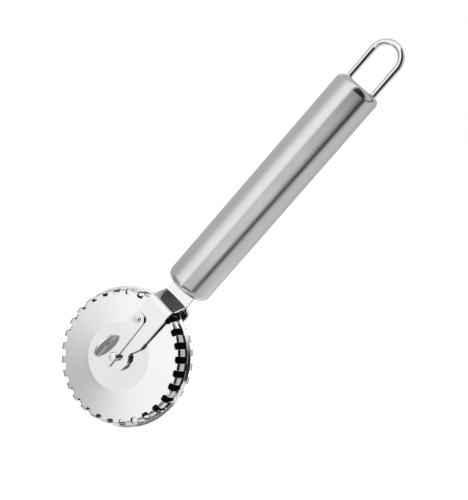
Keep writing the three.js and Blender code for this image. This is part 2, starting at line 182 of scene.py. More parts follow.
# %% [markdown]
# ## Six finishes of one steel
#
# The whole tool is one stainless steel, finished six ways. Satin on the grip is a belt's
# fine grain, drawn out along the tube. The disc, the loop and the pins are mirror polished,
# and what shows that they are real metal is that the mirror is never quite flat or clean.
# The cups' outsides are polished a little less, and pressed strip keeps a faint rolled grain.
# The cups' insides and the lower cap's end face are dull steel with a nearly black tint, which is
# painted shade, and hidden parts stay as the lathe left them. Noise that is squeezed across the
# grain and stretched along it gives all six, from Object coordinates, so nothing swims on the part.

# %% The steel
CLOUD_SCALE = 90.0
RIPPLE_SCALE = 160.0
CLOUD_WEAR = 0.6


def steel(name, tint, roughness, grain, grain_depth, ripple_depth, haze, wear=0.06):
    """grain: noise cells per metre along X, Y and Z. haze: how much the roughness wanders."""
    material = bpy.data.materials.new(name)
    material.use_nodes = True
    tree = material.node_tree
    tree.nodes.clear()
    place = add_node(tree, "ShaderNodeTexCoord", output=3)
    squeezed = add_node(
        tree, "ShaderNodeVectorMath", {"operation": "MULTIPLY"}, {0: place, 1: grain}
    )
    lines = add_node(
        tree,
        "ShaderNodeTexNoise",
        {"noise_dimensions": "3D"},
        {"Vector": squeezed, "Scale": 1.0, "Detail": 3.0, "Roughness": 0.6},
    )
    clouds = add_node(
        tree,
        "ShaderNodeTexNoise",
        {"noise_dimensions": "3D"},
        {"Vector": place, "Scale": CLOUD_SCALE, "Detail": 3.0, "Roughness": 0.55},
    )
    ripples = add_node(
        tree,
        "ShaderNodeTexNoise",
        {"noise_dimensions": "3D"},
        {"Vector": place, "Scale": RIPPLE_SCALE, "Detail": 1.0, "Roughness": 0.4},
    )
    shade = 1 - (lines * wear) - (clouds * wear * CLOUD_WEAR)
    colour = add_node(
        tree,
        "ShaderNodeMix",
        {"data_type": "RGBA"},
        {"Factor": shade, "A": (0.0, 0.0, 0.0, 1.0), "B": (*tint, 1.0)},
        output=2,
    )
    gloss = roughness + (lines - 0.5) * haze + (clouds - 0.5) * haze
    height = lines * grain_depth + ripples * ripple_depth
    bump = add_node(
        tree, "ShaderNodeBump", None, {"Strength": 1.0, "Distance": 1.0, "Height": height}
    )
    shader = add_node(
        tree,
        "ShaderNodeBsdfPrincipled",
        None,
        {"Base Color": colour, "Metallic": 1.0, "Roughness": gloss, "Normal": bump},
    )
    output = tree.nodes.new("ShaderNodeOutputMaterial")
    tree.links.new(shader.socket, output.inputs["Surface"])
    print(f"finish {name}: roughness about {roughness}")
    return material


MICRON = 1e-6
satin_tube = steel(
    "satin tube", (0.82, 0.82, 0.83), 0.19, (5200, 5200, 260), 0.5 * MICRON, 0, 0.08, 0.1
)
polished = steel(
    "mirror polish", (0.93, 0.93, 0.935), 0.05, (900, 900, 900), 0.02 * MICRON, 0.6 * MICRON, 0.04
)
rolled_strip = steel(
    "fine satin strip", (0.93, 0.93, 0.935), 0.09, (4200, 4200, 420),
    0.02 * MICRON, 0.7 * MICRON, 0.05,
)
pressed = steel(
    "polished pressing", (0.92, 0.92, 0.925), 0.1, (700, 700, 700), 0.03 * MICRON, 1.5 * MICRON, 0.05
)
# A nearly black tint on dull steel: painted shade, used for the cups' insides and the lower cap's
# end face.
dull_painted_shade = steel(
    "dull steel, painted shade", (0.2, 0.2, 0.205), 0.5, (1500, 1500, 1500), 2 * MICRON, 0, 0.1
)
turned_bar = steel(
    "plain turned bar", (0.6, 0.6, 0.61), 0.35, (600, 5000, 600), 1 * MICRON, 0, 0.1
)

# %% [markdown]
# ## Tools of the bench
#
# Three ways of making metal parts cover this tool. A lathe turns an outline into a round
# part. A press blanks a flat outline out of strip and folds it. A last step rounds every
# sharp edge a little, because no real edge is perfectly sharp and the thin bright line on a
# rounded edge is what tells the eye that metal is thick.

# %% Rounding the corners of an outline
def rounded(corners, steps=5):
    """Points of a closed outline. A corner is (a, b) or (a, b, radius of its arc)."""
    points = []
    for place, corner in enumerate(corners):
        here = Vector(corner[:2])
        if len(corner) == 2:
            points.append(here)
            continue
        radius = corner[2]
        back = (Vector(corners[place - 1][:2]) - here).normalized()
        ahead = (Vector(corners[(place + 1) % len(corners)][:2]) - here).normalized()
        half = back.angle(ahead) / 2
        centre = here + (back + ahead).normalized() * (radius / math.sin(half))
        start = here + back * (radius / math.tan(half)) - centre
        side = 1 if back.cross(ahead) < 0 else -1
        for step in range(steps + 1):
            swing = side * (math.pi - 2 * half) * step / steps
            points.append(centre + Matrix.Rotation(swing, 2) @ start)
    return points


# %% A lathe
def turned(outline, steps=96, along_y=True, centre=(0, 0, 0)):
    """Turn an outline of (radius, along) about Y, or about Z. Ends at radius 0 close it."""
    shape = bmesh.new()
    corners = [
        shape.verts.new((r, along, 0) if along_y else (r, 0, along)) for r, along in outline
    ]
    edges = [shape.edges.new(pair) for pair in zip(corners, corners[1:])]
    if outline[0][0] > 0:
        edges.append(shape.edges.new((corners[-1], corners[0])))
    bmesh.ops.spin(
        shape,
        geom=corners + edges,
        cent=(0, 0, 0),
        axis=(0, 1, 0) if along_y else (0, 0, 1),
        angle=2 * math.pi,
        steps=steps,
    )
    bmesh.ops.remove_doubles(shape, verts=shape.verts, dist=1e-4)
    bmesh.ops.recalc_face_normals(shape, faces=shape.faces)
    bmesh.ops.translate(shape, verts=shape.verts, vec=centre)
    return shape


# %% A blanking press
def blanked(outline, thickness, cuts=()):
    """A flat blank: outline in X and Z, thickness along Y, scored across at each cut.
    A cut is (point, normal) and leaves an edge there, so that the blank can fold."""
    shape = bmesh.new()
    front = shape.faces.new([shape.verts.new((x, -thickness / 2, z)) for x, z in outline])
    grown = bmesh.ops.extrude_face_region(shape, geom=[front])
    moved = [part for part in grown["geom"] if isinstance(part, bmesh.types.BMVert)]
    bmesh.ops.translate(shape, verts=moved, vec=(0, thickness, 0))
    for point, normal in cuts:
        everything = shape.verts[:] + shape.edges[:] + shape.faces[:]
        bmesh.ops.bisect_plane(shape, geom=everything, plane_co=point, plane_no=normal, dist=1e-5)
    bmesh.ops.recalc_face_normals(shape, faces=shape.faces)
    return shape


# %% Finishing and placing a piece
SHARP_ANGLE = math.radians(40)
BEVEL_ANGLE = math.radians(38)


def put(name, data):
    """A new object in the scene."""
    thing = bpy.data.objects.new(name, data)
    bpy.context.scene.collection.objects.link(thing)
    return thing


def with_modifiers(piece):
    """Make a plain mesh of what the piece's modifiers give, and take them off."""
    piece_now = piece.evaluated_get(bpy.context.evaluated_depsgraph_get())
    made = bpy.data.meshes.new_from_object(piece_now)
    piece.modifiers.clear()
    piece.data = made


def settle(name, shape, finishes, body, node, edge=0.0, holes=()):
    """Place a shape made in millimetres, and fasten it to its body.
    holes are (x, z, radius) along Y. edge is the radius that sharp edges are rounded to;
    without one they stay sharp."""
    mesh = bpy.data.meshes.new(name)
    shape.to_mesh(mesh)
    shape.free()
    mesh.transform(Matrix.Translation(axle) @ Matrix.Scale(MM, 4))
    for finish in finishes:
        mesh.materials.append(finish)
    mesh.shade_smooth()
    if not edge:
        mesh.set_sharp_from_angle(angle=SHARP_ANGLE)
    piece = put(name, mesh)
    drills = [drill(piece, *hole) for hole in holes]
    if edge:
        bevel = piece.modifiers.new("rounded edges", "BEVEL")
        bevel.width = edge * MM
        bevel.segments = 3
        bevel.limit_method = "ANGLE"
        bevel.angle_limit = BEVEL_ANGLE
    even = piece.modifiers.new("flat faces stay flat", "WEIGHTED_NORMAL")
    even.weight = 100
    even.keep_sharp = True
    with_modifiers(piece)
    for bit in drills:
        bpy.data.objects.remove(bit)
    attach(piece, body)
    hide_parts(node)
    print(f"{name}: {len(piece.data.polygons)} faces")


def drill(piece, x, z, radius):
    """Cut a round hole along Y through the piece, with a bit that is removed afterwards."""
    reach = GRIP_R + 5
    bit_shape = turned([(0, -reach), (radius, -reach), (radius, reach), (0, reach)], 48)
    bmesh.ops.translate(bit_shape, verts=bit_shape.verts, vec=(x, 0, z))
    mesh = bpy.data.meshes.new("drill")
    bit_shape.to_mesh(mesh)
    bit_shape.free()
    mesh.transform(Matrix.Translation(axle) @ Matrix.Scale(MM, 4))
    bit = put("drill", mesh)
    bore = piece.modifiers.new("bore", "BOOLEAN")
    bore.operation = "DIFFERENCE"
    bore.solver = "EXACT"
    bore.object = bit
    return bit


# %% [markdown]
# ## The grip
#
# The grip is a drawn tube with a plug in each end, whose rim is rounded over so that it
# doesn't dig into the hand. Tube and plugs are round, so all three are turned. The satin belt
# went over tube and rims in one pass, which is why they share a finish.

# %% Tube and end caps
TUBE_WALL = 1.0
CAP_EDGE_R = 3.0
SEAM = 0.1
TIGHT = 0.02
GRIP_STEPS = 160
bore_r = GRIP_R - TUBE_WALL
plug_r = bore_r - SEAM

lower_seam = tube_low.z - SEAM
upper_seam = tube_high.z + SEAM
tube_outline = [
    (GRIP_R, lower_seam + TIGHT),
    (GRIP_R, upper_seam - TIGHT),
    (bore_r, upper_seam - TIGHT),
    (bore_r, lower_seam + TIGHT),
]
tube_shape = turned(tube_outline, GRIP_STEPS, along_y=False)
settle("grip_tube", tube_shape, [satin_tube], "handle", "handle_tube")


def cap(end, seam, plug_end):
    """A plug with a rounded rim, belted like the tube. Its flat end face takes the second finish,
    which on the lower cap is painted shade.
    """
    outline = rounded([
        (0, end),
        (GRIP_R, end, CAP_EDGE_R),
        (GRIP_R, seam),
        (plug_r, seam),
        (plug_r, plug_end, 0.3),
        (0, plug_end),
    ], 10)
    shape = turned(outline, GRIP_STEPS, along_y=False)
    for face in shape.faces:
        face.material_index = int(abs(face.calc_center_median().z - end) < TIGHT)
    return shape


lower_plug = drawn("handle_bottom_cap")[1].z
upper_plug = drawn("handle_top_cap")[0].z
lower_cap = cap(lower_end, lower_seam, lower_plug)
upper_cap = cap(upper_end, upper_seam, upper_plug)
# The lower cap's end face gets the painted shade: a dark face that the fork's joggle mirrors.
settle("lower_cap", lower_cap, [satin_tube, dull_painted_shade], "handle", "handle_bottom_cap")
settle("upper_cap", upper_cap, [satin_tube, polished], "handle", "handle_top_cap")

# %% [markdown]
# ## The hanging loop
#
# A length of polished wire, bent once round a mandrel and pressed into the cap. In Blender a
# wire is a curve with a round bevel: the path is two straight legs and half a circle.

# %% Wire loop
WIRE_R = 1.35
BEND_STEPS = 48
leg_x = loop_high.x - WIRE_R
bend_z = loop_high.z - WIRE_R - leg_x
bend = [math.pi * step / BEND_STEPS for step in range(BEND_STEPS + 1)]
path = [Vector((leg_x, 0, loop_low.z))]
path += [Vector((leg_x * math.cos(a), 0, bend_z + leg_x * math.sin(a))) for a in bend]
path += [Vector((-leg_x, 0, loop_low.z))]

wire = bpy.data.curves.new("wire", "CURVE")
wire.dimensions = "3D"
wire.bevel_depth = WIRE_R
wire.bevel_resolution = 10
wire.use_fill_caps = True
line = wire.splines.new("POLY")
line.points.add(len(path) - 1)
for point, place in zip(line.points, path):
    point.co = (*place, 1)
wire_object = put("wire", wire)
wire_now = wire_object.evaluated_get(bpy.context.evaluated_depsgraph_get())
wire_mesh = bpy.data.meshes.new_from_object(wire_now)
loop_shape = bmesh.new()
loop_shape.from_mesh(wire_mesh)
bmesh.ops.remove_doubles(loop_shape, verts=loop_shape.verts, dist=1e-4)
bmesh.ops.recalc_face_normals(loop_shape, faces=loop_shape.faces)
bpy.data.objects.remove(wire_object)
settle("wire_loop", loop_shape, [polished], "handle", "hanging_loop")

# %% [markdown]
# ## The fork
#
# Two strips run down from the grip back to back, spread over a joggle, and pass the wheel on
# either side. Real ones are blanked flat and folded, so these are too: the outline is cut in
# the flat, scored where it will bend, and every point is carried onto the folded line. The
# strip keeps its thickness through both bends that way.

# %% Folding a blank
class FoldLine:
    """The middle line of a folded strip: runs of (length, turn in radians)."""

    def __init__(self, start, heading, runs):
        self.start = Vector(start)
        self.heading = heading
        self.runs = runs

    def at(self, distance):
        """The point and heading after a distance along the line."""
        place, heading, left = self.start.copy(), self.heading, distance
        for number, (length, turn) in enumerate(self.runs):
            last = number == len(self.runs) - 1
            step = left if last else min(left, length)
            if turn:
                radius = length / turn
                swing = step / radius
                centre = place + radius * Vector((-math.sin(heading), math.cos(heading)))
                heading += swing
                place = centre + radius * Vector((math.sin(heading), -math.cos(heading)))
            else:
                place += step * Vector((math.cos(heading), math.sin(heading)))
            left -= step
            if left <= 0:
                break
        return place, heading


def bend_cuts(fold, steps):
    """Distances along the line at which the blank is scored: across every bend."""
    found, passed = [], 0
    for length, turn in fold.runs:
        if turn:
            found += [passed + length * step / steps for step in range(steps + 1)]
        passed += length
    return found


# %% The fork's two strips
STRIP_T = 1.2
STRIP_BEND_R = 1.4
JOGGLE_TOP = 33.2
JOGGLE_BOTTOM = 29.3
ARM_END_R = 5.9
TANG_HALF_WIDTH = 5.0
SHOULDER_GAP = 0.3
SHOULDER_Z = lower_end - SHOULDER_GAP
NICK_TOP_Z = 9.8
NICK_FOOT = (3.85, 5.1)
PIN_HOLE_R = 1.95
TANG_PIN_R = 1.5
half_width = strip_high.x
shank_y = strip_low.y + STRIP_T / 2
arm_y = strip_high.y - STRIP_T / 2
tang_top = strip_high.z
neutral_r = STRIP_BEND_R + STRIP_T / 2
joggle_turn = math.pi / 2 - math.atan2(JOGGLE_TOP - JOGGLE_BOTTOM, arm_y - shank_y)
web = (arm_y - shank_y - 2 * neutral_r * (1 - math.cos(joggle_turn))) / math.sin(joggle_turn)
upper_bend_z = JOGGLE_TOP + (STRIP_BEND_R + STRIP_T) * math.tan(joggle_turn / 2)
lower_bend_z = upper_bend_z - 2 * neutral_r * math.sin(joggle_turn) - web * math.cos(joggle_turn)
print(f"the joggle turns {math.degrees(joggle_turn):.1f} degrees over a {web:.2f} mm web")

bend_length = neutral_r * joggle_turn
strip_line = FoldLine((shank_y, tang_top), -math.pi / 2, [
    (tang_top - upper_bend_z, 0),
    (bend_length, joggle_turn),
    (web, 0),
    (bend_length, -joggle_turn),
    (lower_bend_z + ARM_END_R, 0),
])
arm_start = tang_top - upper_bend_z + 2 * bend_length + web


def below_joggle(z):
    """Distance along the strip of a height on the arm."""
    return arm_start + lower_bend_z - z


def strip_half_outline():
    """The blank's right edge from the tang's end to the arm's round end, as (x, distance)."""
    shoulder = tang_top - SHOULDER_Z
    end_angle = math.acos((NICK_FOOT[0] + 0.1) / ARM_END_R)
    foot = (ARM_END_R * math.cos(end_angle), ARM_END_R * math.sin(end_angle))
    edge = rounded([
        (0, 0),
        (TANG_HALF_WIDTH, 0, 0.6),
        (TANG_HALF_WIDTH, shoulder, 0.4),
        (half_width, shoulder, 0.3),
        (half_width, below_joggle(NICK_TOP_Z), 0.8),
        (NICK_FOOT[0], below_joggle(NICK_FOOT[1]), 0.3),
        (foot[0], below_joggle(foot[1])),
    ])[1:]
    arc = [end_angle - (end_angle + math.pi / 2) * step / 40 for step in range(1, 40)]
    return edge + [
        Vector((ARM_END_R * math.cos(a), below_joggle(ARM_END_R * math.sin(a)))) for a in arc
    ]


def fork_strip(side):
    """side is -1 for the front strip and 1 for the rear one."""
    right = strip_half_outline()
    tip = Vector((0, below_joggle(-ARM_END_R)))
    outline = right + [tip] + [Vector((-x, s)) for x, s in reversed(right)]
    cuts = [((0, 0, s), (0, 0, 1)) for s in bend_cuts(strip_line, 9)]
    shape = blanked(outline, STRIP_T, cuts)
    for vert in shape.verts:
        place, heading = strip_line.at(vert.co.z)
        place += vert.co.y * Vector((-math.sin(heading), math.cos(heading)))
        vert.co = (vert.co.x, side * place.x, place.y)
    bmesh.ops.recalc_face_normals(shape, faces=shape.faces)
    return shape


tang_holes = []
for pin in ("tang_pin_lower", "tang_pin_upper"):
    pin_low, pin_high = drawn(pin)
    tang_holes.append((0, (pin_low.z + pin_high.z) / 2, TANG_PIN_R + SEAM))
RIVET_HOLE_R = 0.9
rivet_hole = (pivot.x, pivot.z, RIVET_HOLE_R)
pin_hole = (0, 0, PIN_HOLE_R)
settle(
    "fork_front_strip", fork_strip(-1), [rolled_strip], "handle", "front_arm",
    edge=0.14, holes=[pin_hole, rivet_hole, *tang_holes],
)
settle(
    "fork_rear_strip", fork_strip(1), [rolled_strip], "handle", "rear_arm",
    edge=0.14, holes=[pin_hole, *tang_holes],
)

# %% [markdown]
# ## The latch
#
# A short lever lies on the front strip. Its notch hooks the axle pin's neck, and the thumb
# tab on its left edge is bent up out of the same blank. The half oval of the tab is drawn
# flat beside the plate, and only what lies left of the bend line, between the relief cut and
# the bottom edge, is folded.

# %% Latch plate
LATCH_T = 0.8
TAB_BEND_R = 0.7
TAB_CENTRE_Z = 0.85
TAB_HALF_LENGTH = 6.2
RELIEF = 0.6
NOTCH_R = 1.75
NOTCH_RISE = math.radians(11)
LATCH_HEEL_Z = -5.8
LATCH_FOOT = Vector((latch_high.x, -5.2))
latch_end_r = pivot.x - latch_low.x
latch_mid_y = latch_high.y - LATCH_T / 2
tab_neutral_r = TAB_BEND_R + LATCH_T / 2
bend_x = latch_low.x + TAB_BEND_R + LATCH_T
tab_bend_length = tab_neutral_r * math.pi / 2
tab_reach = latch_mid_y - tab_neutral_r - latch_low.y + tab_bend_length
tab_top_z = TAB_CENTRE_Z + TAB_HALF_LENGTH
latch_line = FoldLine((bend_x, latch_mid_y), math.pi, [
    (tab_bend_length, math.pi / 2),
    (tab_reach, 0),
])


def notch_points():
    """The notch from its mouth's lower lip, round the pin, to its upper lip."""
    out = Vector((math.cos(NOTCH_RISE), math.sin(NOTCH_RISE)))
    across = Vector((-out.y, out.x)) * NOTCH_R
    top = Vector((pivot.x + latch_end_r, pivot.z))
    lips = [
        intersect_line_line_2d(start, start + 9 * out, LATCH_FOOT, top)
        for start in (-across, across)
    ]
    turns = [math.pi * step / 20 for step in range(21)]
    bottom = [Matrix.Rotation(-turn, 2) @ -across for turn in turns]
    return [lips[0], *bottom, lips[1]]


def latch_outline():
    """The flat blank, anticlockwise seen from the front, starting at the foot's right end."""
    end_turns = [math.pi * step / 32 for step in range(33)]
    end = [
        Vector((pivot.x + latch_end_r * math.cos(a), pivot.z + latch_end_r * math.sin(a)))
        for a in end_turns
    ]
    relief = rounded([
        (latch_low.x, pivot.z),
        (latch_low.x, tab_top_z + RELIEF, 0.3),
        (bend_x, tab_top_z + RELIEF, 0.2),
        (bend_x, tab_top_z),
        (bend_x - tab_bend_length * 0.5, tab_top_z),
    ])[1:]
    foot_x = bend_x - tab_bend_length * 0.8
    reach = tab_reach - tab_bend_length * 0.8
    tab_turns = [math.pi * step / 32 for step in range(33)]
    tab = [
        Vector((
            foot_x - reach * math.sin(a),
            TAB_CENTRE_Z + TAB_HALF_LENGTH * math.cos(a),
        ))
        for a in tab_turns
    ]
    foot = rounded([
        (bend_x, TAB_CENTRE_Z - TAB_HALF_LENGTH),
        (bend_x, LATCH_HEEL_Z, 0.2),
        (LATCH_FOOT.x, LATCH_FOOT.y, 0.4),
        tuple(notch_points()[0]),
    ])[:-1]
    return foot + notch_points() + end + relief + tab


def latch():
    cuts = [((bend_x - d, 0, 0), (1, 0, 0)) for d in bend_cuts(latch_line, 9)]
    shape = blanked(latch_outline(), LATCH_T, cuts)
    for vert in shape.verts:
        beyond = bend_x - vert.co.x
        thickness = vert.co.y
        if beyond > 1e-6 and vert.co.z < tab_top_z + RELIEF / 2:
            place, heading = latch_line.at(beyond)
            place += thickness * Vector((math.sin(heading), -math.cos(heading)))
            vert.co = (place.x, place.y, vert.co.z)
        else:
            vert.co.y = latch_mid_y + thickness
    bmesh.ops.recalc_face_normals(shape, faces=shape.faces)
    return shape


settle(
    "latch_lever", latch(), [rolled_strip], "latch", "latch_plate",
    edge=0.18, holes=[rivet_hole],
)

# %% [markdown]
# ## Pins and rivets
#
# The axle pin, the latch's rivet and its washer are turned parts a few millimetres across.
# Their outlines are the same kind as the grip's, only smaller, and the rivet's head keeps the
# dimple that the riveting tool leaves.

# %% Axle pin
PIN_R = 1.85
PIN_NECK_R = 1.4
PIN_HEAD_R = 3.4
NECK_PLAY = 0.15
pin_low, pin_high = drawn("axle_pin")
neck_back = latch_high.y + NECK_PLAY
neck_front = latch_mid_y - LATCH_T / 2 - NECK_PLAY
head_y = strip_high.y + SEAM
pin_outline = rounded([
    (0, pin_low.y),
    (PIN_R, pin_low.y, 0.45),
    (PIN_R, neck_front, 0.1),
    (PIN_NECK_R, neck_front),
    (PIN_NECK_R, neck_back),
    (PIN_R, neck_back, 0.1),
    (PIN_R, head_y),
    (PIN_HEAD_R, head_y, 0.15),
    (PIN_HEAD_R, pin_high.y, 0.6),
    (0, pin_high.y),
], 6)
settle("pin", turned(pin_outline, 64), [polished], "handle", "axle_pin")

# %% Latch rivet and washer
RIVET_R = 0.8
RIVET_HEAD_R = 1.2
RIVET_TAIL_R = 1.8
WASHER_R = 1.65
TAIL_T = 0.5
DIMPLE_R = 0.5
DIMPLE_DEPTH = 0.25
rivet_low, rivet_high = drawn("latch_rivet")
washer_low, washer_high = drawn("latch_washer")
under_head = washer_low.y - SEAM
under_tail = rivet_high.y - TAIL_T
rivet_outline = rounded([
    (0, rivet_low.y + DIMPLE_DEPTH),
    (DIMPLE_R, rivet_low.y, 0.2),
    (RIVET_HEAD_R, rivet_low.y, 0.35),
    (RIVET_HEAD_R, under_head, 0.08),
    (RIVET_R, under_head),
    (RIVET_R, under_tail),
    (RIVET_TAIL_R, under_tail, 0.1),
    (RIVET_TAIL_R, rivet_high.y, 0.3),
    (0, rivet_high.y),
], 5)
at_pivot = (pivot.x, 0, pivot.z)
rivet_shape = turned(rivet_outline, 48, centre=at_pivot)
settle("rivet", rivet_shape, [polished], "handle", "latch_rivet")

washer_outline = rounded([
    (RIVET_HOLE_R, washer_low.y, 0.05),
    (WASHER_R, washer_low.y, 0.1),
    (WASHER_R, washer_high.y, 0.05),
    (RIVET_HOLE_R, washer_high.y, 0.05),
], 3)
washer_shape = turned(washer_outline, 64, centre=at_pivot)
settle("rivet_washer", washer_shape, [polished], "handle", "latch_washer")

# %% Cross pins inside the grip
for place in ("lower", "upper"):
    low, high = drawn(f"tang_pin_{place}")
    outline = rounded([
        (0, low.y), (TANG_PIN_R, low.y, 0.3), (TANG_PIN_R, high.y, 0.3), (0, high.y)
    ], 3)
    shape = turned(outline, 32, centre=(0, 0, (low.z + high.z) / 2))
    settle(f"cross_pin_{place}", shape, [turned_bar], "handle", f"tang_pin_{place}")

# %% [markdown]
# ## The cutting disc
#
# The disc does the cutting, so it stands just proud of the teeth and its rim is ground to an
# edge on both sides. One outline, turned, gives the flat, the ground bevel and the edge.

# %% Cutting disc
DISC_T = 1.0
EDGE_T = 0.25
GROUND_WIDTH = 1.2
DISC_HOLE_R = 3.5
disc_outline = rounded([
    (DISC_HOLE_R, -DISC_T / 2, 0.1),
    (DISC_R - GROUND_WIDTH, -DISC_T / 2, 0.3),
    (DISC_R, -EDGE_T / 2, 0.05),
    (DISC_R, EDGE_T / 2, 0.05),
    (DISC_R - GROUND_WIDTH, DISC_T / 2, 0.3),
    (DISC_HOLE_R, DISC_T / 2, 0.1),
], 4)
disc_shape = turned(disc_outline, 240)
settle("cutter", disc_shape, [polished], "wheel", "cutting_disc")

# %% [markdown]
# ## The toothed cups
#
# Each cup is drawn from sheet and its rim is notched thirty times. Thirty is the rule of the
# whole shape, so one tooth is modelled and Geometry Nodes repeats it. The tile runs from the
# middle of one tooth to the middle of the next, with the notch between them, and is a bare
# sheet; once thirty of them are welded into a ring, a Solidify modifier gives them all the
# sheet's thickness at once, the walls of the notches included.

# %% The cup's outer surface, from the hub to the rim
SHEET_T = 0.8
TEETH = 30
TOOTH_GAP = 2.9
ROOT_R = 25.8
ROOT_CORNER = 0.9
TOOTH_TURN = math.radians(0.8)
FACE_Y = 6.7
BOSS_R = 15.4
SHOULDER_R = 1.8
rim_y = cup_low.y
boss_y = cup_high.y

section = rounded([
    (DISC_HOLE_R, boss_y - 0.1),
    (BOSS_R - 1.0, boss_y, 2),
    (BOSS_R + 0.8, boss_y - 0.12, 2),
    (CUP_R, FACE_Y - 0.15, SHOULDER_R),
    (CUP_R, rim_y),
], 8)


def height_at(radius):
    """The surface's height over the disc at a radius on the face or shoulder."""
    for (r0, y0), (r1, y1) in zip(section, section[1:]):
        if r0 <= radius <= r1 and r1 > r0:
            return y0 + (y1 - y0) * (radius - r0) / (r1 - r0)
    return rim_y


# %% One tile: half a tooth, a notch, half a tooth
half_gap = TOOTH_GAP / 2
notch_top = ROOT_R + ROOT_CORNER
rows_from = ROOT_R - 0.5
pitch = 2 * math.pi / TEETH
ROOT_ROWS = 6
TOOTH_COLUMNS = 4
WELD_REACH = 0.01
INWARD = -0.3


def notch_columns():
    """(distance across the notch, radius at which the notch starts there)."""
    right = []
    for step in range(5):
        turn = math.pi / 2 * step / 4
        across = half_gap - ROOT_CORNER + ROOT_CORNER * math.sin(turn)
        right.append((across, notch_top - ROOT_CORNER * math.cos(turn)))
    left = [(-across, radius) for across, radius in reversed(right)]
    return left + [(0, ROOT_R)] + right


def side_angle(across, radius):
    return math.asin(across / max(radius, rows_from))


def column(angle_at, start_r, tall):
    """Points (radius, height, angle) up one column of the tile."""
    low = [(r, y) for r, y in section if r < rows_from]
    root = [rows_from + (start_r - rows_from) * row / ROOT_ROWS for row in range(ROOT_ROWS + 1)]
    points = low + [(r, height_at(r)) for r in root]
    if tall:
        points += [(r, y) for r, y in section if r > notch_top + 0.02]
    return [(r, y, angle_at(r)) for r, y in points]


def tile_columns():
    columns = []
    for step in range(TOOTH_COLUMNS):
        share = step / TOOTH_COLUMNS

        def left_half(r, share=share):
            edge = side_angle(half_gap, r)
            return -pitch / 2 + share * (pitch / 2 - edge)

        columns.append(column(left_half, notch_top, True))
    for across, radius in notch_columns():
        tall = abs(across) >= half_gap - 1e-9
        columns.append(column(lambda r, across=across: side_angle(across, r), radius, tall))
    for points in reversed(columns[:TOOTH_COLUMNS]):
        columns.append([(r, y, -angle) for r, y, angle in points])
    return columns


def tooth_tile(side):
    """side is -1 for the front cup and 1 for the rear one."""
    shape = bmesh.new()
    rows = [
        [shape.verts.new((r * math.sin(a), side * y, r * math.cos(a))) for r, y, a in points]
        for points in tile_columns()
    ]
    for left, right in zip(rows, rows[1:]):
        for below in range(min(len(left), len(right)) - 1):
            corners = [left[below], right[below], right[below + 1], left[below + 1]]
            shape.faces.new(corners[::-1] if side > 0 else corners)
    return shape


# %% The ring of teeth, as Geometry Nodes
ring_tree = bpy.data.node_groups.new("ring of teeth", "GeometryNodeTree")
ring_inputs = {}
for label, kind in (
    ("Tile", "NodeSocketGeometry"),
    ("Teeth", "NodeSocketInt"),
    ("Turn", "NodeSocketFloat"),
    ("Weld", "NodeSocketFloat"),
    ("Finish", "NodeSocketMaterial"),
):
    socket = ring_tree.interface.new_socket(name=label, in_out="INPUT", socket_type=kind)
    ring_inputs[label] = socket.identifier
ring_tree.interface.new_socket(name="Ring", in_out="OUTPUT", socket_type="NodeSocketGeometry")
ring_in = ring_tree.nodes.new("NodeGroupInput")
given = {s.name: Signal(ring_tree, s) for s in ring_in.outputs if s.name}
as_one = add_node(ring_tree, "GeometryNodeGeometryToInstance")
ring_tree.links.new(given["Tile"].socket, as_one.socket.node.inputs[0])
copies = add_node(
    ring_tree, "GeometryNodeDuplicateElements", {"domain": "INSTANCE"},
    {"Geometry": as_one, "Amount": given["Teeth"]},
)
number = Signal(ring_tree, copies.socket.node.outputs["Duplicate Index"])
step_angle = 2 * math.pi / given["Teeth"]
turn = add_node(
    ring_tree, "ShaderNodeCombineXYZ", None, {"Y": number * step_angle + given["Turn"]}
)
rotation = add_node(ring_tree, "FunctionNodeEulerToRotation", None, {"Euler": turn})
placed = add_node(
    ring_tree, "GeometryNodeRotateInstances", None,
    {"Instances": copies, "Rotation": rotation, "Local Space": False},
)
real = add_node(ring_tree, "GeometryNodeRealizeInstances", None, {"Geometry": placed})
welded = add_node(
    ring_tree, "GeometryNodeMergeByDistance", None, {"Geometry": real, "Distance": given["Weld"]}
)
coated = add_node(
    ring_tree, "GeometryNodeSetMaterial", None, {"Geometry": welded, "Material": given["Finish"]}
)
ring_out = ring_tree.nodes.new("NodeGroupOutput")
ring_tree.links.new(coated.socket, ring_out.inputs[0])
print(f"ring of teeth: {len(ring_tree.nodes)} nodes, inputs {', '.join(ring_inputs)}")


# %% The two cups
def toothed_cup(name, side, node):
    mesh = bpy.data.meshes.new("tile")
    tile = tooth_tile(side)
    tile.to_mesh(mesh)
    tile.free()
    ring = put("tile", mesh)
    repeat = ring.modifiers.new("ring of teeth", "NODES")
    repeat.node_group = ring_tree
    repeat[ring_inputs["Teeth"]] = TEETH
    repeat[ring_inputs["Turn"]] = TOOTH_TURN
    repeat[ring_inputs["Weld"]] = WELD_REACH
    repeat[ring_inputs["Finish"]] = pressed
    thick = ring.modifiers.new("sheet", "SOLIDIFY")
    thick.thickness = SHEET_T
    thick.offset = -1
    thick.use_even_offset = True
    with_modifiers(ring)
    shape = bmesh.new()
    shape.from_mesh(ring.data)
    bpy.data.objects.remove(ring)
    bmesh.ops.recalc_face_normals(shape, faces=shape.faces)
    # Faces towards the disc and faces turned inwards get the painted shade; the rest is the polished
    # pressing.
    for face in shape.faces:
        middle = face.calc_center_median()
        outward = face.normal.dot(Vector((middle.x, 0, middle.z)).normalized())
        inside = side * face.normal.y < INWARD or outward < INWARD
        face.material_index = int(inside)
    settle(name, shape, [pressed, dull_painted_shade], "wheel", node, edge=0.1)


toothed_cup("crimping_cup_front", -1, "front_toothed_disc")
toothed_cup("crimping_cup_rear", 1, "rear_toothed_disc")

# %% [markdown]
# ## The hub
#
# A hollow rivet holds the three discs together and is the wheel's bearing on the pin. Its
# ends are rolled over a thin washer on each side, and a spacer inside each cup keeps the
# cup's face off the disc. Most of it is hidden, but its edge shows from the side.

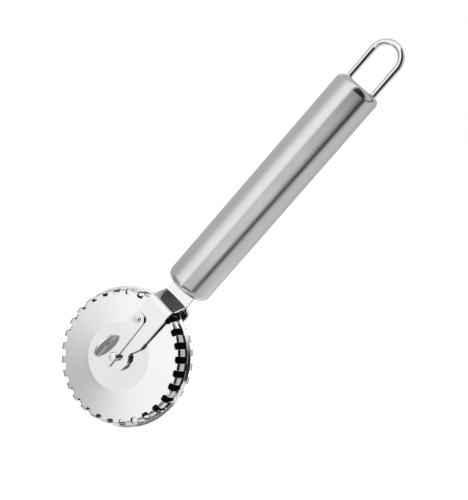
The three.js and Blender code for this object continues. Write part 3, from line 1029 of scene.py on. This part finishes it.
# %% Hub sleeve, washers and spacers
HUB_TUBE_R = 3.4
FLANGE_T = 0.25
SPACER_R = 6.2
SPACER_GAP = 0.2
sleeve_low, sleeve_high = drawn("hub_sleeve")
flange_r = sleeve_high.x
sleeve_outline = rounded([
    (PIN_HOLE_R, sleeve_low.y, 0.1),
    (flange_r, sleeve_low.y, 0.12),
    (flange_r, sleeve_low.y + FLANGE_T, 0.05),
    (HUB_TUBE_R, sleeve_low.y + FLANGE_T),
    (HUB_TUBE_R, sleeve_high.y - FLANGE_T),
    (flange_r, sleeve_high.y - FLANGE_T, 0.05),
    (flange_r, sleeve_high.y, 0.12),
    (PIN_HOLE_R, sleeve_high.y, 0.1),
], 3)
settle("hub_rivet", turned(sleeve_outline, 96), [polished], "wheel", "hub_sleeve")

for place, side in (("front", -1), ("rear", 1)):
    low, high = drawn(f"{place}_hub_washer")
    outline = rounded([
        (HUB_TUBE_R + SEAM, low.y, 0.05),
        (high.x, low.y, 0.08),
        (high.x, high.y, 0.08),
        (HUB_TUBE_R + SEAM, high.y, 0.05),
    ], 3)
    shape = turned(outline, 96)
    settle(f"hub_ring_{place}", shape, [polished], "wheel", f"{place}_hub_washer")

    low, high = drawn(f"{place}_hub_spacer")
    near, far = (low.y, high.y - SPACER_GAP) if side > 0 else (low.y + SPACER_GAP, high.y)
    outline = rounded([
        (HUB_TUBE_R + SEAM, near, 0.2),
        (SPACER_R, near, 0.3),
        (SPACER_R, far, 0.3),
        (HUB_TUBE_R + SEAM, far, 0.2),
    ], 3)
    shape = turned(outline, 64)
    settle(f"hub_spacer_{place}", shape, [turned_bar], "wheel", f"{place}_hub_spacer")

# %% [markdown]
# ## The studio
#
# Polished steel has no colour of its own: what it shows is the room. So the room is the most
# important material here. It is a white light tent with one bright softbox in front and to
# the left, a narrow black card on the right, which draws the dark line down the grip, and the
# dark camera with its stand in the middle. Weaker panels at the side, low down and at the
# back lift what would be grey, and the left of the tent is dimmed low down. The tent is a
# formula of the direction that a ray leaves in, as azimuth from the front towards the right,
# and elevation, both in degrees. The camera itself sees plain white behind the tool.

# %% The light tent
world = bpy.data.worlds.new("light tent")
world.use_nodes = True
bpy.context.scene.world = world
sky = world.node_tree
sky.nodes.clear()
direction = add_node(sky, "ShaderNodeTexCoord", output=0)
parts = add_node(sky, "ShaderNodeSeparateXYZ", None, {"Vector": direction}).socket.node.outputs
x, y, z = (Signal(sky, part) for part in parts)
DEGREES = 180 / math.pi
azimuth = x.math("ARCTAN2", y * -1) * DEGREES
elevation = z.math("ARCSINE") * DEGREES

softbox = 0.5 * above(azimuth, -48, 24) * (1 - above(azimuth, 0, 3))
glow = 0.27 * between(azimuth, 5, 48, 8)
side_panel = 0.08 * between(azimuth, 82, 135, 12)
low_panel = 0.3 * between(azimuth, 122, 190, 12) * (1 - above(elevation, -15, 3))
back_panel = 0.6 * (1 - above(azimuth, -115, 10)) * between(elevation, 0, 30, 4)
leaning = azimuth - elevation * 1.5
black_card = 1 - 0.97 * between(leaning, 74, 91, 4)
camera_shadow = 1 - 0.97 * between(azimuth, 3, 76, 5) * above(elevation, -5.2, 0.7)
stand_shadow = 1 - 0.72 * between(azimuth, -2, 52, 4) * between(elevation, -42, -18, 1.5)
dim_left = 1 - 0.1 * (1 - above(azimuth, -22, 6)) * (1 - above(elevation, -15, 2))
low_left = 1 - 0.5 * (1 - above(elevation, -23, 8)) * between(azimuth, -80, -17, 8)
tent = 0.55 + softbox + glow + side_panel + low_panel + back_panel
shade = black_card * camera_shadow * stand_shadow * dim_left * low_left
room = tent * shade
seen = add_node(sky, "ShaderNodeLightPath")
level = room * (1 - seen) + seen
white = (1.0, 1.0, 1.0, 1.0)
tent_light = add_node(sky, "ShaderNodeBackground", None, {"Color": white, "Strength": level})
sky_out = sky.nodes.new("ShaderNodeOutputWorld")
sky.links.new(tent_light.socket, sky_out.inputs["Surface"])

# %% [markdown]
# ## Floor and camera
#
# The floor is a plain pale disc under the wheel. It is left out of the steel's reflections,
# so that the tent alone shapes them. The camera looks from the front, a little to the right
# and from above, and is rolled so that the handle runs to the upper right.

# %% Floor
FLOOR_R = 3.0
floor_shape = bmesh.new()
bmesh.ops.create_circle(floor_shape, cap_ends=True, segments=96, radius=FLOOR_R)
bmesh.ops.translate(floor_shape, verts=floor_shape.verts, vec=(0, 0, cad_box[0].z))
floor_mesh = bpy.data.meshes.new("floor")
floor_shape.to_mesh(floor_mesh)
floor_shape.free()
floor = put("floor", floor_mesh)
floor.visible_glossy = False
floor_finish = bpy.data.materials.new("pale floor")
floor_finish.use_nodes = True
floor_tree = floor_finish.node_tree
floor_tree.nodes.clear()
paper = add_node(
    floor_tree, "ShaderNodeBsdfPrincipled", None,
    {"Base Color": (0.9, 0.9, 0.9, 1), "Roughness": 0.9, "Emission Color": (1, 1, 1, 1)},
)
paper.socket.node.inputs["Emission Strength"].default_value = 1.0
floor_out = floor_tree.nodes.new("ShaderNodeOutputMaterial")
floor_tree.links.new(paper.socket, floor_out.inputs["Surface"])
floor_mesh.materials.append(floor_finish)

# %% Camera
CAMERA_AZIMUTH = math.radians(20.16)
CAMERA_ELEVATION = math.radians(13.34)
CAMERA_ROLL = math.radians(-41.04)
CAMERA_DISTANCE = 560
LENS_MM = 95.94
SENSOR_MM = 36
ASIDE = 45.09
ABOVE = 44.64
back = Vector((
    math.sin(CAMERA_AZIMUTH) * math.cos(CAMERA_ELEVATION),
    -math.cos(CAMERA_AZIMUTH) * math.cos(CAMERA_ELEVATION),
    math.sin(CAMERA_ELEVATION),
))
level_right = Vector((math.cos(CAMERA_AZIMUTH), math.sin(CAMERA_AZIMUTH), 0))
level_up = back.cross(level_right)
right = math.cos(CAMERA_ROLL) * level_right - math.sin(CAMERA_ROLL) * level_up
up = math.sin(CAMERA_ROLL) * level_right + math.cos(CAMERA_ROLL) * level_up
centre = ASIDE * right + ABOVE * up + CAMERA_DISTANCE * back
camera_data = bpy.data.cameras.new("studio camera")
camera_data.sensor_width = SENSOR_MM
camera_data.lens = LENS_MM
camera_data.clip_start = 0.01
camera_data.clip_end = 20
camera = put("studio camera", camera_data)
turn_matrix = Matrix((right, up, back)).transposed().to_4x4()
camera.matrix_world = Matrix.Translation(axle + centre * MM) @ turn_matrix
bpy.context.scene.camera = camera
bpy.context.scene.view_settings.view_transform = "Standard"
